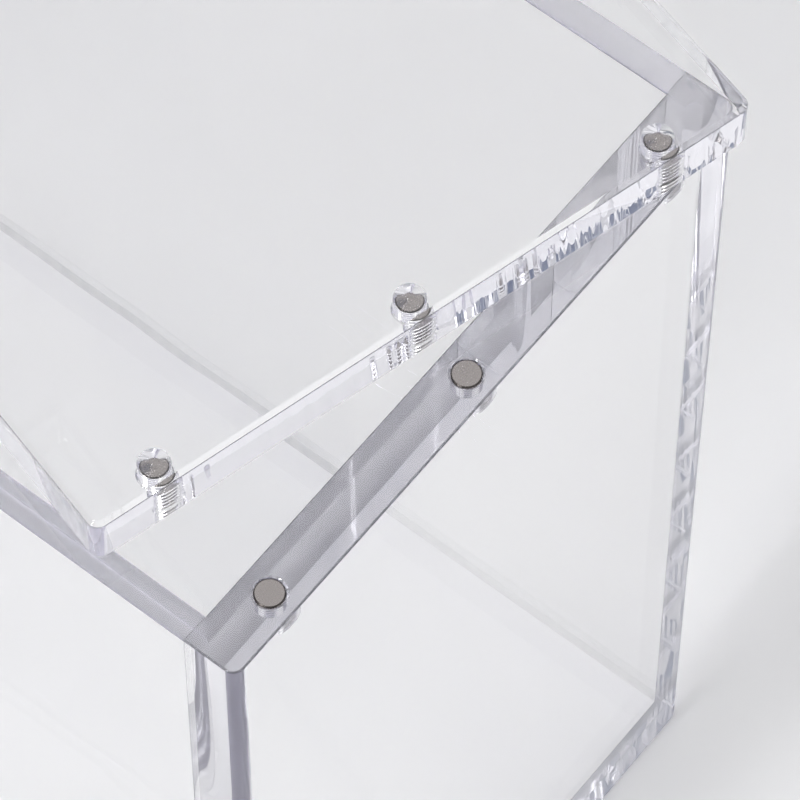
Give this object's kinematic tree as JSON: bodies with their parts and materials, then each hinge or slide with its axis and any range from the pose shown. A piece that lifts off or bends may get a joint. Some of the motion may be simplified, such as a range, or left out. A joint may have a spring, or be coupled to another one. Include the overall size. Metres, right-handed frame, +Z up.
{
  "type": "display case",
  "caption": "Clear acrylic display case: a welded open-topped box with a loose chamfered cover that small round magnets hold on its rim, and that swings aside about a corner magnet",
  "frame": {"origin": "the middle of the base panel's underside, where the case stands", "axes": "+X points at the front end wall, whose far magnet the cover turns about; +Y runs along that wall towards that magnet; +Z is up, out of the case's open top"},
  "size_m": [0.2445, 0.1795, 0.2253],
  "materials": {
    "clear_acrylic": "clear cast acrylic sheet, polished faces and flame-polished edges",
    "nickel_plate": "nickel plate, satin, slightly warm grey"
  },
  "bodies": {
    "case": {"base_panel": "clear_acrylic", "end_wall_front": "clear_acrylic", "end_wall_rear": "clear_acrylic", "side_wall_near": "clear_acrylic", "side_wall_far": "clear_acrylic", "wall_magnet_front_near": "nickel_plate", "wall_magnet_front_middle": "nickel_plate", "wall_magnet_front_far": "nickel_plate", "wall_magnet_rear_near": "nickel_plate", "wall_magnet_rear_middle": "nickel_plate", "wall_magnet_rear_far": "nickel_plate"},
    "turning_magnet": {"cover_magnet_front_far": "nickel_plate"},
    "cover": {"cover_panel": "clear_acrylic", "cover_magnet_front_near": "nickel_plate", "cover_magnet_front_middle": "nickel_plate", "cover_magnet_rear_near": "nickel_plate", "cover_magnet_rear_middle": "nickel_plate", "cover_magnet_rear_far": "nickel_plate"}
  },
  "joints": [
    {"name": "cover_lift", "type": "slide", "parent": "case", "child": "turning_magnet", "axis": [0, 0, 1], "range_m": [0, 0.06]},
    {"name": "cover_swing", "type": "hinge", "parent": "turning_magnet", "child": "cover", "pos_m": [0.105, 0.048, 0.2153], "axis": [0, 0, 1], "range_deg": [-75, 15]}
  ]
}
